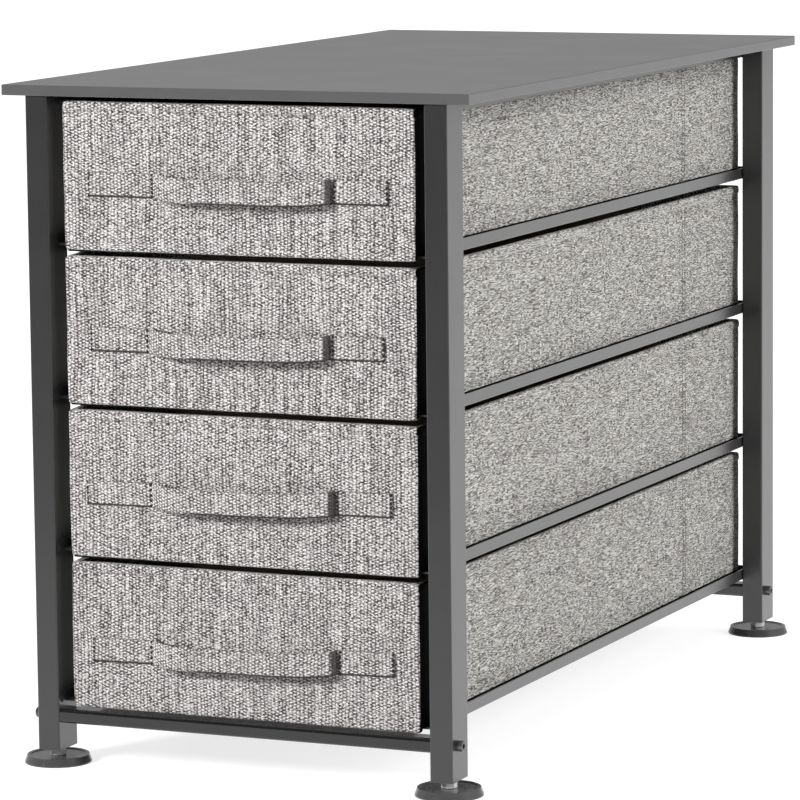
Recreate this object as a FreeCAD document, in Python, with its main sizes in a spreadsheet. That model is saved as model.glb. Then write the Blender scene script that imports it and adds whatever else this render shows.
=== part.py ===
import FreeCAD, Part
import Sketcher
import os

# Slim chest of four fabric drawers in a steel frame on levelling feet.
# Millimetres, +Z up, the front at -Y, the floor at Z = 0 and the origin under the middle of the top board.

os.makedirs("parts", exist_ok=True)
doc = FreeCAD.newDocument("Dresser")

drivingSizes = {
    # top board
    "boardWide": 400,
    "boardDeep": 760,
    "boardThick": 8.5,
    "boardCorner": 1.5,
    "boardEase": 0.7,
    "sideLip": 19.5,
    "frontLip": 3,
    # posts, rectangular tube
    "postWide": 19,
    "postDeep": 32,
    "postWall": 1.2,
    "postCorner": 1.5,
    "footSpace": 12.2,
    # bottom rails, rounded tube between the posts
    "railRise": 22.6,
    "railHigh": 11.5,
    "railDeep": 18,
    "railWall": 1.2,
    "railCorner": 2.75,
    "railSetback": 1,
    "insertLong": 16,
    # bolts through the posts into the rails
    "boltRadius": 2.5,
    "boltBite": 14,
    "boltHeadRadius": 4.25,
    "boltHeadHigh": 5.5,
    "boltHeadEase": 0.6,
    "boltSocketFlats": 4,
    "boltSocketDeep": 2.5,
    # folded angles: the drawers' runners and the two under the top board
    "angleThick": 1.4,
    "angleHigh": 9.5,
    "angleWide": 24,
    "angleCorner": 4,
    "bendOutside": 1.2,
    "bendInside": 0.6,
    "runnerSetback": 6,
    "runnerRearSetback": 2,
    "stopSetback": 10.7,
    "stopInset": 2,
    "topAngleSetback": 12,
    # screws up into the top board
    "screwRadius": 1.75,
    "screwBite": 6,
    "screwHeadRadius": 3.5,
    "screwHeadHigh": 1.6,
    "screwHeadTaper": 1,
    "screwInset": 55,
    # levelling feet
    "discHigh": 6.4,
    "discRadius": 27.1,
    "discLip": 1,
    "discTopRadius": 25,
    "discRimWide": 2.4,
    "discDish": 0.8,
    "discFloor": 1.6,
    "buttonRadius": 4.2,
    "buttonHigh": 1.2,
    "journalRadius": 3,
    "studRadius": 4,
    "studRise": 24,
    "studEase": 0.8,
    "collarFlats": 11,
    "plugHigh": 22,
    # drawers
    "drawerHigh": 118,
    "drawerSpace": 4.4,
    "topSpace": 4,
    "sideSpace": 10,
    "drawerSetback": 7,
    "skinThick": 1.2,
    "skinCorner": 3,
    "hemThick": 0.8,
    "hemHigh": 25,
    "frontBoardThick": 4,
    "sideBoardThick": 2.5,
    "frontHang": 4.4,
    "baseBoardThick": 3,
    # strap pulls
    "pullWide": 259,
    "pullHigh": 20,
    "pullThick": 1.6,
    "loopWide": 154,
    "loopOut": 15,
    "loopTaper": 8,
    "loopRound": 5,
    "pullHeightShare": 0.42,
    # clearances
    "runSpace": 0.3,
    "hangSpace": 0.6,
    "turnSpace": 0.05,
    "threadSpace": 0.1,
    "fitSpace": 0.05,
    "boltSpace": 0.15,
    "screwSpace": 0.8,
    "overrun": 5,
}
drawerCount = 4

sheet = doc.addObject("Spreadsheet::Sheet", "sizes")
for row, (alias, value) in enumerate(drivingSizes.items(), start=1):
    sheet.set(f"A{row}", alias)
    sheet.set(f"B{row}", str(value))
    sheet.setAlias(f"B{row}", alias)
doc.recompute()

# Places that several pieces share, as expressions of the driving sizes.
innerFaceX = "(sizes.boardWide / 2 - sizes.sideLip - sizes.postWide)"
postX = "(sizes.boardWide / 2 - sizes.sideLip - sizes.postWide / 2)"
outerFaceX = "(sizes.boardWide / 2 - sizes.sideLip)"
endY = "(sizes.boardDeep / 2 - sizes.frontLip)"
footY = f"({endY} - sizes.postDeep / 2)"
railZ = "(sizes.footSpace + sizes.railRise)"
railTopZ = f"({railZ} + sizes.railHigh)"
pitch = "(sizes.drawerHigh + sizes.drawerSpace)"
drawerWide = f"(2 * ({innerFaceX} - sizes.sideSpace))"
drawerFrontY = f"(sizes.drawerSetback - {endY})"
drawerDeep = f"(2 * {endY} - sizes.stopSetback - sizes.drawerSetback - sizes.runSpace)"
frontDeep = "(2 * sizes.skinThick + sizes.frontBoardThick)"
boltY = "(sizes.railSetback + sizes.railDeep / 2)"
boltZ = f"({railZ} + sizes.railHigh / 2)"
screwX = f"({innerFaceX} - sizes.angleThick - sizes.screwHeadRadius - sizes.screwSpace)"
screwY = f"({endY} - sizes.topAngleSetback - sizes.screwInset)"
sides = {"left": -1, "right": 1}
ends = {"front": -1, "rear": 1}

# Corners of a hexagon as shares of its width across the flats.
hexagonShares = [
    (-0.5, -0.288675),
    (0, -0.57735),
    (0.5, -0.288675),
    (0.5, 0.288675),
    (0, 0.57735),
    (-0.5, 0.288675),
]

nodes = []


def number(text):
    return float(sheet.evalExpression(text))


def drawerZ(level):
    """Lower edge of the front of the drawer at a level, 0 being the lowest. Its floor is frontHang above that."""
    return f"({railTopZ} + sizes.angleThick + sizes.runSpace + {level} * {pitch})"


def runnerZ(level):
    """Underside of the ledge that carries a drawer's floor."""
    return f"({drawerZ(level)} + sizes.frontHang - sizes.runSpace - sizes.angleThick)"


boardZ = f"({drawerZ(drawerCount - 1)} + sizes.drawerHigh + sizes.topSpace)"


def newBody(name):
    return doc.addObject("PartDesign::Body", name)


def place(item, x, y, z):
    item.Placement = FreeCAD.Placement()
    for axis, text in zip("xyz", (x, y, z)):
        item.setExpression(f"Placement.Base.{axis}", text)


def newSketch(body, name, plane, lift="0"):
    sketch = body.newObject("Sketcher::SketchObject", name)
    face = [item for item in body.Origin.OriginFeatures if item.Role == plane][0]
    sketch.AttachmentSupport = [(face, "")]
    sketch.MapMode = "FlatFace"
    sketch.setExpression("AttachmentOffset.Base.z", lift)
    return sketch


def tie(sketch, kind, places, text):
    """Adds one dimension to a sketch and binds it to the sheet."""
    index = sketch.addConstraint(Sketcher.Constraint(kind, *places, number(text)))
    sketch.setExpression(f"Constraints[{index}]", text)


def addOutline(sketch, points):
    """Closed outline of straight edges through points given as expressions."""
    first = sketch.GeometryCount
    corners = [FreeCAD.Vector(number(u), number(v), 0) for u, v in points]
    for index, corner in enumerate(corners):
        sketch.addGeometry(Part.LineSegment(corner, corners[(index + 1) % len(corners)]))
    for index, (u, v) in enumerate(points):
        following = first + (index + 1) % len(points)
        sketch.addConstraint(Sketcher.Constraint("Coincident", first + index, 2, following, 1))
        tie(sketch, "DistanceX", (-1, 1, first + index, 1), u)
        tie(sketch, "DistanceY", (-1, 1, first + index, 1), v)


def addRectangle(sketch, lowU, lowV, highU, highV):
    addOutline(sketch, [(lowU, lowV), (highU, lowV), (highU, highV), (lowU, highV)])


def addCircle(sketch, u, v, radius):
    centre = FreeCAD.Vector(number(u), number(v), 0)
    index = sketch.addGeometry(Part.Circle(centre, FreeCAD.Vector(0, 0, 1), number(radius)))
    tie(sketch, "DistanceX", (-1, 1, index, 3), u)
    tie(sketch, "DistanceY", (-1, 1, index, 3), v)
    tie(sketch, "Radius", (index,), radius)


def addHexagon(sketch, flats):
    addOutline(sketch, [(f"{u} * {flats}", f"{v} * {flats}") for u, v in hexagonShares])


def addPad(body, name, sketch, length, backwards=False, bothWays=False):
    pad = body.newObject("PartDesign::Pad", name)
    pad.Profile = sketch
    pad.setExpression("Length", length)
    pad.Reversed = backwards
    pad.Midplane = bothWays
    return pad


def addPocket(body, name, sketch, depth, backwards=False, bothWays=False):
    """Cuts a sketch into a body and makes sure that the cut met the solid."""
    doc.recompute()
    before = body.Shape.Volume
    pocket = body.newObject("PartDesign::Pocket", name)
    pocket.Profile = sketch
    pocket.setExpression("Length", depth)
    pocket.Reversed = backwards
    pocket.Midplane = bothWays
    doc.recompute()
    if pocket.Shape.isNull() or pocket.Shape.Volume >= before:
        raise RuntimeError(f"{body.Label}: {name} cuts nothing")
    return pocket


def addTurning(body, name, sketch, axis):
    turning = body.newObject("PartDesign::Revolution", name)
    turning.Profile = sketch
    turning.ReferenceAxis = (sketch, [axis])
    turning.Angle = 360
    return turning


def addRounding(body, name, radius, chooses):
    """Rounds those edges of a body's newest feature that a test chooses."""
    doc.recompute()
    base = body.Tip
    chosen = [f"Edge{index}" for index, edge in enumerate(base.Shape.Edges, start=1) if chooses(edge)]
    rounding = body.newObject("PartDesign::Fillet", name)
    rounding.Base = (base, chosen)
    rounding.setExpression("Radius", radius)
    return rounding


def runsAlong(edge, axis):
    """Whether an edge is straight and parallel to one of the axes."""
    if edge.Curve.TypeId != "Part::GeomLine":
        return False
    direction = edge.tangentAt(edge.FirstParameter)
    return near(abs(getattr(direction, axis)), 1)


def middle(edge):
    return edge.BoundBox.Center


def near(first, second):
    return abs(first - second) < number("sizes.fitSpace")


def addGroup(name, pieces):
    group = doc.addObject("Part::Compound", name)
    group.Links = pieces
    nodes.append(group)


# Top board: one panel with small rounded corners and eased edges, with pilot holes for the screws.
def makeTopBoard():
    board = newBody("top_board")
    outline = newSketch(board, "board_outline", "XY_Plane")
    addRectangle(outline, "-sizes.boardWide / 2", "-sizes.boardDeep / 2", "sizes.boardWide / 2",
                 "sizes.boardDeep / 2")
    addPad(board, "board_panel", outline, "sizes.boardThick")
    holes = newSketch(board, "board_holes", "XY_Plane")
    for side in sides.values():
        for end in ends.values():
            addCircle(holes, f"{side} * {screwX}", f"{end} * {screwY}", "sizes.screwRadius + sizes.fitSpace")
    addPocket(board, "board_pilots", holes, "sizes.screwBite + sizes.runSpace", backwards=True)
    addRounding(board, "board_corners", "sizes.boardCorner", lambda edge: runsAlong(edge, "z")
                and near(abs(middle(edge).y), number("sizes.boardDeep / 2")))
    rimX = number("sizes.boardWide / 2 - sizes.boardCorner")
    rimY = number("sizes.boardDeep / 2 - sizes.boardCorner")
    addRounding(board, "board_eased", "sizes.boardEase", lambda edge: not runsAlong(edge, "z")
                and (abs(middle(edge).x) > rimX or abs(middle(edge).y) > rimY))
    place(board, "0", "0", boardZ)
    nodes.append(board)


# Posts: rectangular tubes from the feet to the board, each drilled across for a bolt.
def makePost(end, side):
    post = newBody(f"post_{end}_{side}")
    section = newSketch(post, f"{post.Label}_section", "XY_Plane")
    addRectangle(section, "-sizes.postWide / 2", "0", "sizes.postWide / 2", "sizes.postDeep")
    addRectangle(section, "sizes.postWall - sizes.postWide / 2", "sizes.postWall",
                 "sizes.postWide / 2 - sizes.postWall", "sizes.postDeep - sizes.postWall")
    addPad(post, f"{post.Label}_tube", section, f"{boardZ} - sizes.footSpace")
    hole = newSketch(post, f"{post.Label}_hole", "YZ_Plane")
    addCircle(hole, boltY, f"{boltZ} - sizes.footSpace", "sizes.boltRadius + sizes.boltSpace")
    addPocket(post, f"{post.Label}_drilled", hole, "sizes.postWide + sizes.overrun", bothWays=True)
    outside = number("sizes.postWide / 2")
    addRounding(post, f"{post.Label}_corners", "sizes.postCorner", lambda edge: runsAlong(edge, "z")
                and near(abs(middle(edge).x), outside))
    place(post, f"{sides[side]} * {postX}", postFrontY(end), "sizes.footSpace")
    nodes.append(post)


def postFrontY(end):
    return f"-{endY}" if end == "front" else f"{endY} - sizes.postDeep"


# Plugs: blocks in the posts' lower ends, with a hole for each foot's stud.
def makePlug(end, side):
    plug = newBody(f"plug_{end}_{side}")
    section = newSketch(plug, f"{plug.Label}_section", "XY_Plane")
    halfWide = "(sizes.postWide / 2 - sizes.postWall - sizes.fitSpace)"
    halfDeep = "(sizes.postDeep / 2 - sizes.postWall - sizes.fitSpace)"
    addRectangle(section, f"-{halfWide}", f"-{halfDeep}", halfWide, halfDeep)
    addCircle(section, "0", "0", "sizes.studRadius + sizes.threadSpace")
    addPad(plug, f"{plug.Label}_block", section, "sizes.plugHigh")
    place(plug, f"{sides[side]} * {postX}", f"{ends[end]} * {footY}", "sizes.footSpace")
    return plug


# Feet: a disc that turns on the button at the lower end of a stud, whose collar meets the post.
def makeDisc(end, side):
    disc = newBody(f"foot_disc_{end}_{side}")
    profile = newSketch(disc, f"{disc.Label}_profile", "XZ_Plane")
    dishZ = "(sizes.discHigh - sizes.discDish)"
    dishRadius = "(sizes.discTopRadius - sizes.discRimWide)"
    seatRadius = "(sizes.buttonRadius + sizes.turnSpace)"
    seatTop = "(sizes.discFloor + sizes.buttonHigh + 2 * sizes.runSpace)"
    boreRadius = "(sizes.journalRadius + sizes.turnSpace)"
    addOutline(profile, [
        ("0", "0"),
        ("sizes.discRadius", "0"),
        ("sizes.discRadius", "sizes.discLip"),
        ("sizes.discTopRadius", "sizes.discHigh"),
        (dishRadius, "sizes.discHigh"),
        (f"{dishRadius} - sizes.discDish", dishZ),
        (boreRadius, dishZ),
        (boreRadius, seatTop),
        (seatRadius, seatTop),
        (seatRadius, "sizes.discFloor"),
        ("0", "sizes.discFloor"),
    ])
    addTurning(disc, f"{disc.Label}_turned", profile, "V_Axis")
    place(disc, f"{sides[side]} * {postX}", f"{ends[end]} * {footY}", "0")
    nodes.append(disc)


def makeStud(end, side):
    stud = newBody(f"foot_stud_{end}_{side}")
    profile = newSketch(stud, f"{stud.Label}_profile", "XZ_Plane")
    buttonZ = "(sizes.discFloor + sizes.runSpace)"
    buttonTop = f"({buttonZ} + sizes.buttonHigh)"
    collarZ = "(sizes.discHigh - sizes.discDish + sizes.runSpace)"
    collarTop = "(sizes.footSpace - sizes.runSpace)"
    studTop = f"({collarTop} + sizes.studRise)"
    addOutline(profile, [
        ("0", buttonZ),
        ("sizes.buttonRadius", buttonZ),
        ("sizes.buttonRadius", buttonTop),
        ("sizes.journalRadius", buttonTop),
        ("sizes.journalRadius", collarZ),
        ("sizes.studRadius", collarZ),
        ("sizes.studRadius", f"{studTop} - sizes.studEase"),
        ("sizes.studRadius - sizes.studEase", studTop),
        ("0", studTop),
    ])
    addTurning(stud, f"{stud.Label}_turned", profile, "V_Axis")
    flats = newSketch(stud, f"{stud.Label}_flats", "XY_Plane", collarZ)
    addHexagon(flats, "sizes.collarFlats")
    addPad(stud, f"{stud.Label}_collar", flats, f"{collarTop} - {collarZ}")
    place(stud, f"{sides[side]} * {postX}", f"{ends[end]} * {footY}", "0")
    nodes.append(stud)


# Bottom rails: rounded tubes between the posts' inner faces, front and rear.
def makeRail(end):
    rail = newBody(f"{end}_rail")
    section = newSketch(rail, f"{rail.Label}_section", "YZ_Plane")
    addRectangle(section, "0", "0", "sizes.railDeep", "sizes.railHigh")
    addRectangle(section, "sizes.railWall", "sizes.railWall", "sizes.railDeep - sizes.railWall",
                 "sizes.railHigh - sizes.railWall")
    addPad(rail, f"{rail.Label}_tube", section, f"2 * {innerFaceX}", bothWays=True)
    outside = number("sizes.railHigh / 2")
    height = number("sizes.railHigh / 2")
    addRounding(rail, f"{rail.Label}_corners", "sizes.railCorner", lambda edge: runsAlong(edge, "x")
                and near(abs(middle(edge).z - height), outside))
    addRounding(rail, f"{rail.Label}_inside", "sizes.railCorner - sizes.railWall",
                lambda edge: runsAlong(edge, "x")
                and near(abs(middle(edge).z - height), outside - number("sizes.railWall")))
    place(rail, "0", f"{postFrontY(end)} + sizes.railSetback", railZ)
    nodes.append(rail)


# Inserts: drilled blocks in the rails' ends, which take the bolts.
def makeInsert(end, side):
    insert = newBody(f"insert_{end}_{side}")
    section = newSketch(insert, f"{insert.Label}_section", "YZ_Plane")
    halfDeep = "(sizes.railDeep / 2 - sizes.railWall - sizes.fitSpace)"
    halfHigh = "(sizes.railHigh / 2 - sizes.railWall - sizes.fitSpace)"
    addRectangle(section, f"-{halfDeep}", f"-{halfHigh}", halfDeep, halfHigh)
    addCircle(section, "0", "0", "sizes.boltRadius + sizes.threadSpace")
    addPad(insert, f"{insert.Label}_block", section, "sizes.insertLong", backwards=sides[side] > 0)
    outside = number(halfDeep)
    addRounding(insert, f"{insert.Label}_corners", "sizes.railCorner - sizes.railWall",
                lambda edge: runsAlong(edge, "x") and near(abs(middle(edge).y), outside))
    place(insert, f"{sides[side]} * {innerFaceX}", f"{postFrontY(end)} + {boltY}", boltZ)
    return insert


# Bolts: socket heads on the posts' outer faces, with the shanks through the posts into the inserts.
def makeBolt(end, side):
    outward = sides[side]
    bolt = newBody(f"bolt_{end}_{side}")
    profile = newSketch(bolt, f"{bolt.Label}_profile", "XY_Plane")
    tip = f"{-outward} * (sizes.postWide + sizes.boltBite)"
    addOutline(profile, [
        (tip, "0"),
        (tip, "sizes.boltRadius"),
        ("0", "sizes.boltRadius"),
        ("0", "sizes.boltHeadRadius"),
        (f"{outward} * (sizes.boltHeadHigh - sizes.boltHeadEase)", "sizes.boltHeadRadius"),
        (f"{outward} * sizes.boltHeadHigh", "sizes.boltHeadRadius - sizes.boltHeadEase"),
        (f"{outward} * sizes.boltHeadHigh", "0"),
    ])
    addTurning(bolt, f"{bolt.Label}_turned", profile, "H_Axis")
    socket = newSketch(bolt, f"{bolt.Label}_socket", "YZ_Plane", f"{outward} * sizes.boltHeadHigh")
    addHexagon(socket, "sizes.boltSocketFlats")
    addPocket(bolt, f"{bolt.Label}_recess", socket, "sizes.boltSocketDeep", backwards=outward < 0)
    place(bolt, f"{outward} * {outerFaceX}", f"{postFrontY(end)} + {boltY}", boltZ)
    return bolt


# Folded angles: an upright leg against the posts and a flat flange towards the middle.
# Here up is 1 where the leg rises from the flange and -1 where it hangs from it.
def foldAngle(body, side, up, length, flangeStart, flangeEnd):
    inward = -sides[side]
    plate = newSketch(body, f"{body.Label}_leg_outline", "YZ_Plane")
    addRectangle(plate, "0", "0", length, f"{up} * sizes.angleHigh")
    addPad(body, f"{body.Label}_leg", plate, "sizes.angleThick", backwards=inward < 0)
    ledge = newSketch(body, f"{body.Label}_flange_outline", "XY_Plane")
    addRectangle(ledge, "0", flangeStart, f"{inward} * sizes.angleWide", flangeEnd)
    addPad(body, f"{body.Label}_flange", ledge, "sizes.angleThick", backwards=up < 0)


def roundAngle(body, side, up):
    height = number(f"{up} * sizes.angleHigh")
    thick = number("sizes.angleThick")
    addRounding(body, f"{body.Label}_leg_corner", "sizes.angleCorner", lambda edge: runsAlong(edge, "x")
                and near(middle(edge).z, height) and near(middle(edge).y, 0)
                and abs(middle(edge).x) < thick)
    addRounding(body, f"{body.Label}_bend_outside", "sizes.bendOutside", lambda edge: runsAlong(edge, "y")
                and near(middle(edge).z, 0) and near(middle(edge).x, 0))
    addRounding(body, f"{body.Label}_bend_inside", "sizes.bendInside", lambda edge: runsAlong(edge, "y")
                and near(middle(edge).z, up * thick) and near(abs(middle(edge).x), thick))


# Runners: angles whose flange carries a drawer's floor behind its hanging front, with a stop bent up at the rear.
def makeRunner(side, drawer):
    inward = -sides[side]
    runner = newBody(f"runner_{side}_{drawer}")
    length = f"(2 * {endY} - sizes.runnerSetback - sizes.runnerRearSetback)"
    stopY = f"(2 * {endY} - sizes.runnerSetback - sizes.stopSetback)"
    flangeY = f"(sizes.drawerSetback - sizes.runnerSetback + {frontDeep} + sizes.hangSpace)"
    foldAngle(runner, side, 1, length, flangeY, f"{stopY} + sizes.angleThick")
    stop = newSketch(runner, f"{runner.Label}_stop_outline", "XY_Plane")
    addRectangle(stop, f"{inward} * (sizes.angleThick + sizes.stopInset)", stopY,
                 f"{inward} * sizes.angleWide", f"{stopY} + sizes.angleThick")
    addPad(runner, f"{runner.Label}_stop", stop, "sizes.angleHigh")
    roundAngle(runner, side, 1)
    place(runner, f"{sides[side]} * {innerFaceX}", f"sizes.runnerSetback - {endY}",
          runnerZ(drawerCount - drawer))
    nodes.append(runner)


# Top angles: turned over, with the flange under the board and two screws in it.
def makeTopAngle(side):
    inward = -sides[side]
    angle = newBody(f"top_angle_{side}")
    length = f"(2 * ({endY} - sizes.topAngleSetback))"
    foldAngle(angle, side, -1, length, "0", length)
    holes = newSketch(angle, f"{angle.Label}_holes", "XY_Plane")
    for end in ends.values():
        addCircle(holes, f"{inward} * ({innerFaceX} - {screwX})", f"{length} / 2 + {end} * {screwY}",
                  "sizes.screwRadius + sizes.threadSpace")
    addPocket(angle, f"{angle.Label}_drilled", holes, "sizes.angleThick")
    roundAngle(angle, side, -1)
    place(angle, f"{sides[side]} * {innerFaceX}", f"sizes.topAngleSetback - {endY}", boardZ)
    nodes.append(angle)


def makeScrew(end, side):
    screw = newBody(f"screw_{end}_{side}")
    profile = newSketch(screw, f"{screw.Label}_profile", "XZ_Plane")
    tip = "(sizes.angleThick + sizes.screwBite)"
    addOutline(profile, [
        ("0", "-sizes.screwHeadHigh"),
        ("sizes.screwHeadRadius - sizes.screwHeadTaper", "-sizes.screwHeadHigh"),
        ("sizes.screwHeadRadius", "0"),
        ("sizes.screwRadius", "0"),
        ("sizes.screwRadius", f"{tip} - sizes.screwRadius"),
        ("0", tip),
    ])
    addTurning(screw, f"{screw.Label}_turned", profile, "V_Axis")
    place(screw, f"{sides[side]} * {screwX}", f"{ends[end]} * {screwY}", f"{boardZ} - sizes.angleThick")
    return screw


# Drawer covers: fabric round the boards, turned over their top edges and hemmed inside.
def makeCover(drawer):
    cover = newBody(f"drawer_{drawer}_cover")
    name = cover.Label
    half = f"({drawerWide} / 2)"
    skin = "sizes.skinThick"
    rimZ = "(sizes.drawerHigh - sizes.skinThick)"
    hemX = f"({half} - {skin} - sizes.sideBoardThick)"
    hemFront = f"({skin} + sizes.frontBoardThick)"
    hemRear = f"({drawerDeep} - {skin} - sizes.sideBoardThick)"
    outline = newSketch(cover, f"{name}_outline", "XY_Plane", "sizes.frontHang")
    addRectangle(outline, f"-{half}", "0", half, drawerDeep)
    addPad(cover, f"{name}_block", outline, "sizes.drawerHigh - sizes.frontHang")
    hanging = newSketch(cover, f"{name}_hanging_outline", "XY_Plane")
    addRectangle(hanging, f"-{half}", "0", half, frontDeep)
    addPad(cover, f"{name}_hanging_front", hanging, "sizes.frontHang")
    hangY = number(frontDeep)
    addRounding(cover, f"{name}_corners", "sizes.skinCorner", lambda edge: runsAlong(edge, "z")
                and not near(middle(edge).y, hangY))
    mouth = newSketch(cover, f"{name}_mouth_outline", "XY_Plane", "sizes.drawerHigh")
    addRectangle(mouth, f"sizes.hemThick - {hemX}", f"{hemFront} + sizes.hemThick",
                 f"{hemX} - sizes.hemThick", f"{hemRear} - sizes.hemThick")
    addPocket(cover, f"{name}_mouth", mouth, f"{rimZ} - sizes.frontHang")
    room = newSketch(cover, f"{name}_room_outline", "XY_Plane", rimZ)
    addRectangle(room, f"{skin} - {half}", skin, f"{half} - {skin}", f"{drawerDeep} - {skin}")
    addPocket(cover, f"{name}_room", room, f"{rimZ} - {skin} - sizes.frontHang")
    sleeve = newSketch(cover, f"{name}_sleeve_outline", "XY_Plane", f"sizes.frontHang + {skin}")
    addRectangle(sleeve, f"{skin} - {half}", skin, f"{half} - {skin}", hemFront)
    addPocket(cover, f"{name}_sleeve", sleeve, "sizes.frontHang")
    hem = newSketch(cover, f"{name}_hem_outline", "XY_Plane", rimZ)
    addRectangle(hem, f"-{hemX}", hemFront, hemX, hemRear)
    addRectangle(hem, f"sizes.hemThick - {hemX}", f"{hemFront} + sizes.hemThick",
                 f"{hemX} - sizes.hemThick", f"{hemRear} - sizes.hemThick")
    addPad(cover, f"{name}_hem", hem, "sizes.hemHigh", backwards=True)
    place(cover, "0", drawerFrontY, drawerZ(drawerCount - drawer))
    nodes.append(cover)


def makeBoard(name, drawer, x, y, lift, width, depth, high):
    """Plain board that stands or lies in a drawer's cover, lift above the lower edge of the front."""
    board = doc.addObject("Part::Box", f"drawer_{drawer}_{name}")
    board.setExpression("Length", width)
    board.setExpression("Width", depth)
    board.setExpression("Height", high)
    place(board, x, f"{drawerFrontY} + {y}", f"{drawerZ(drawerCount - drawer)} + {lift}")
    nodes.append(board)


# Drawer boards: front and rear from side to side, the sides between them and the base within all four.
def makeDrawerBoards(drawer):
    half = f"({drawerWide} / 2 - sizes.skinThick)"
    frontHigh = "sizes.drawerHigh - 2 * sizes.skinThick"
    high = f"{frontHigh} - sizes.frontHang"
    low = "sizes.skinThick"
    lift = f"{low} + sizes.frontHang"
    sideY = "(sizes.skinThick + sizes.frontBoardThick)"
    rearY = f"({drawerDeep} - sizes.skinThick - sizes.sideBoardThick)"
    sideLong = f"{rearY} - {sideY}"
    baseWide = f"2 * ({half} - sizes.sideBoardThick)"
    makeBoard("front_board", drawer, f"-{half}", "sizes.skinThick", low, f"2 * {half}", "sizes.frontBoardThick",
              frontHigh)
    makeBoard("rear_board", drawer, f"-{half}", rearY, lift, f"2 * {half}", "sizes.sideBoardThick", high)
    makeBoard("left_board", drawer, f"-{half}", sideY, lift, "sizes.sideBoardThick", sideLong, high)
    makeBoard("right_board", drawer, f"{half} - sizes.sideBoardThick", sideY, lift, "sizes.sideBoardThick",
              sideLong, high)
    makeBoard("base_board", drawer, f"sizes.sideBoardThick - {half}", sideY, lift, baseWide, sideLong,
              "sizes.baseBoardThick")


# Strap pulls: a band flat against the front at both ends, standing out between them for the fingers.
def makePull(drawer):
    pull = newBody(f"drawer_{drawer}_pull")
    name = pull.Label
    half = "(sizes.loopWide / 2)"
    crown = "(sizes.loopWide / 2 - sizes.loopTaper)"
    flat = newSketch(pull, f"{name}_flat_outline", "XY_Plane")
    addRectangle(flat, "-sizes.pullWide / 2", "-sizes.pullThick", "sizes.pullWide / 2", "0")
    addPad(pull, f"{name}_flat", flat, "sizes.pullHigh", bothWays=True)
    arch = newSketch(pull, f"{name}_arch_outline", "XY_Plane")
    addOutline(arch, [(f"-{half}", "0"), (f"-{crown}", "-sizes.loopOut"), (crown, "-sizes.loopOut"), (half, "0")])
    addPad(pull, f"{name}_arch", arch, "sizes.pullHigh", bothWays=True)
    outerY = number("-sizes.loopOut")
    addRounding(pull, f"{name}_shoulders", "sizes.loopRound", lambda edge: runsAlong(edge, "z")
                and near(middle(edge).y, outerY))
    gap = newSketch(pull, f"{name}_gap_outline", "XY_Plane")
    addOutline(gap, [
        (f"sizes.pullThick - {half}", "0"),
        (f"sizes.pullThick - {crown}", "sizes.pullThick - sizes.loopOut"),
        (f"{crown} - sizes.pullThick", "sizes.pullThick - sizes.loopOut"),
        (f"{half} - sizes.pullThick", "0"),
    ])
    addPocket(pull, f"{name}_gap", gap, "sizes.pullHigh + sizes.overrun", bothWays=True)
    innerY = number("sizes.pullThick - sizes.loopOut")
    addRounding(pull, f"{name}_inner_shoulders", "sizes.loopRound - sizes.pullThick",
                lambda edge: runsAlong(edge, "z") and near(middle(edge).y, innerY))
    place(pull, "0", drawerFrontY, f"{drawerZ(drawerCount - drawer)} + sizes.pullHeightShare * sizes.drawerHigh")
    nodes.append(pull)


makeTopBoard()
corners = [(end, side) for end in ends for side in sides]
for end, side in corners:
    makePost(end, side)
    makeStud(end, side)
    makeDisc(end, side)
addGroup("post_plugs", [makePlug(end, side) for end, side in corners])
for end in ends:
    makeRail(end)
addGroup("rail_inserts", [makeInsert(end, side) for end, side in corners])
addGroup("corner_bolts", [makeBolt(end, side) for end, side in corners])
for side in sides:
    makeTopAngle(side)
addGroup("board_screws", [makeScrew(end, side) for end, side in corners])
for drawer in range(1, drawerCount + 1):
    for side in sides:
        makeRunner(side, drawer)
    makeCover(drawer)
    makeDrawerBoards(drawer)
    makePull(drawer)
doc.recompute()

# Every feature is sound and every piece holds a valid solid before anything is written.
for item in doc.Objects:
    if "Invalid" in item.State or "Error" in item.State:
        raise RuntimeError(f"{item.Label} failed: {item.State}")
for node in nodes:
    if node.Shape.isNull() or not node.Shape.isValid() or not node.Shape.Solids:
        raise RuntimeError(f"{node.Label} holds no valid solid")
for node in nodes:
    node.Shape.exportStep(f"parts/{node.Label}.step")
    print(f"{node.Label}: {len(node.Shape.Solids)} solid, {node.Shape.Volume:.0f} mm3")
whole = FreeCAD.BoundBox()
for node in nodes:
    whole.add(node.Shape.BoundBox)
print(f"{len(nodes)} nodes in a box of {whole.XLength:.1f} by {whole.YLength:.1f} by {whole.ZLength:.1f} mm")
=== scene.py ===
import math
import bmesh
import bpy
from mathutils import Euler, Matrix, Vector, noise


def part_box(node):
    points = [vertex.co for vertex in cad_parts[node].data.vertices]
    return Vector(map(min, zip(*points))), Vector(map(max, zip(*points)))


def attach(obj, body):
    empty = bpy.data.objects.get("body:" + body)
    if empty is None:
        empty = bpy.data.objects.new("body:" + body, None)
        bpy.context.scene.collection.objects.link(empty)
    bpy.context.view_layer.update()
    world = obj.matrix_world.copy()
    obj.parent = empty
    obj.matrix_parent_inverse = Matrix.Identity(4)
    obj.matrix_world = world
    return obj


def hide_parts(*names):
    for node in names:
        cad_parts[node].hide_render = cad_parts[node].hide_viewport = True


# Looks of a slim chest of four fabric drawers in a painted steel frame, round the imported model.
# Metres, +Z up, the front at -Y.

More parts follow.
